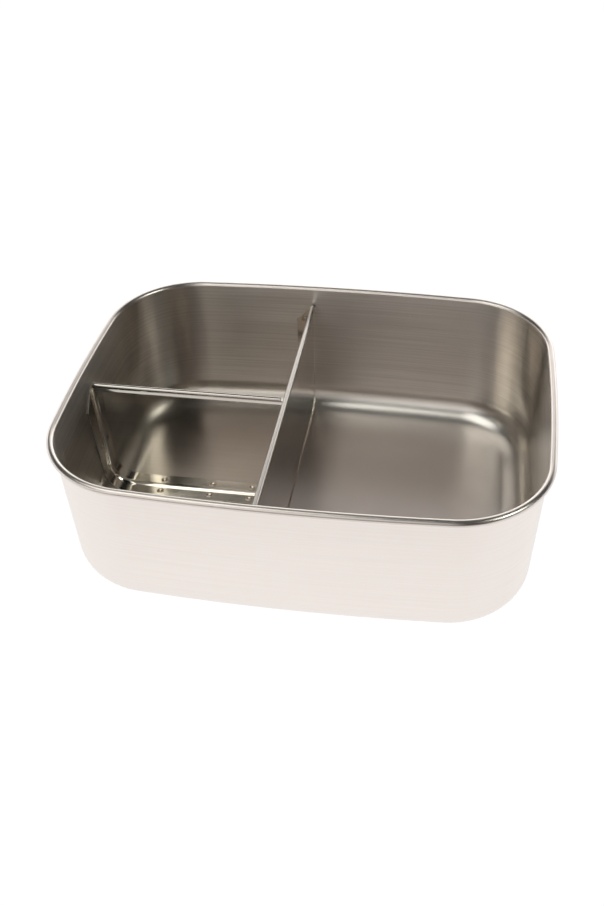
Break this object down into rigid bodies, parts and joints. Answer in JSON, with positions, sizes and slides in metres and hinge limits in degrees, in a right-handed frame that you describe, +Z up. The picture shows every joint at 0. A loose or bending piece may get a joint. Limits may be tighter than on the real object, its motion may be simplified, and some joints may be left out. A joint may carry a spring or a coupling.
{
  "type": "bento lunch box",
  "caption": "Open rounded rectangular steel lunch tray with a curled rim, split by a long divider and a cross divider welded to its floor and walls; holds separate foods.",
  "frame": {"origin": "middle of the flat base, on the surface that the box stands on", "axes": "+X along the length, away from the two small compartments; +Y from the front to the back; +Z up"},
  "size_m": [0.2, 0.156, 0.065],
  "materials": {
    "tray_steel": "brushed along the walls, satin on the floor, polished on the curled rim",
    "divider_steel": "bright rolled sheet with a polished hem",
    "weld_steel": "pressed weld dimples with a slight heat tint"
  },
  "bodies": {
    "root": {"tray": "tray_steel", "long_divider": "divider_steel", "cross_divider": "divider_steel", "long_divider_welds": "weld_steel", "cross_divider_welds": "weld_steel"}
  },
  "joints": []
}
